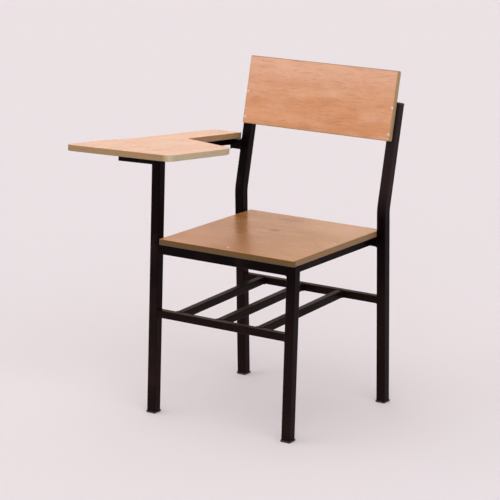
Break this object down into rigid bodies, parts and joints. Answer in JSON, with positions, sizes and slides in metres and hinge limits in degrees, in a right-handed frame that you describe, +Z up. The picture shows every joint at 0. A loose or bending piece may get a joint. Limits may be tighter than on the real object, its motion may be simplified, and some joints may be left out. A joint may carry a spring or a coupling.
{
  "type": "student chair with writing tablet",
  "caption": "School chair of welded square steel tube with laminate seat and backrest, a fixed writing tablet on the sitter's right and a book rack under the seat.",
  "frame": {"origin": "on the floor under the middle of the chair's bounding box", "axes": "+Z up, -Y towards the front, -X towards the sitter's right, where the tablet is"},
  "size_m": [0.5839, 0.6352, 0.849],
  "materials": {
    "frame_paint": "semi-gloss dark brown-black paint on steel tube",
    "black_plastic": "black moulded plastic caps",
    "laminate": "beech-look laminate board, semi-gloss",
    "edge_band": "plastic edge band, brown-olive",
    "screw": "zinc screws"
  },
  "bodies": {
    "root": {"tablet_post": "frame_paint", "front_left_leg": "frame_paint", "rear_right_upright": "frame_paint", "rear_left_upright": "frame_paint", "seat_front_rail": "frame_paint", "seat_rear_rail": "frame_paint", "seat_right_rail": "frame_paint", "seat_left_rail": "frame_paint", "rack_front_rail": "frame_paint", "rack_rear_rail": "frame_paint", "rack_bar_right": "frame_paint", "rack_bar_middle": "frame_paint", "rack_bar_left": "frame_paint", "tablet_arm_rail": "frame_paint", "tablet_cross_bar": "frame_paint", "tablet_rear_stub": "frame_paint", "foot_cap_front_right": "black_plastic", "foot_cap_front_left": "black_plastic", "foot_cap_rear_right": "black_plastic", "foot_cap_rear_left": "black_plastic", "upright_cap_right": "black_plastic", "upright_cap_left": "black_plastic", "tablet_post_cap": "black_plastic", "cross_bar_plug": "black_plastic", "arm_rail_front_plug": "black_plastic", "arm_rail_rear_plug": "black_plastic", "seat_board": "laminate", "back_board": "laminate", "tablet_board": "laminate", "seat_edge_band": "edge_band", "back_edge_band": "edge_band", "tablet_edge_band": "edge_band", "seat_screws": "screw", "back_screws": "screw", "tablet_screws": "screw"}
  },
  "joints": []
}
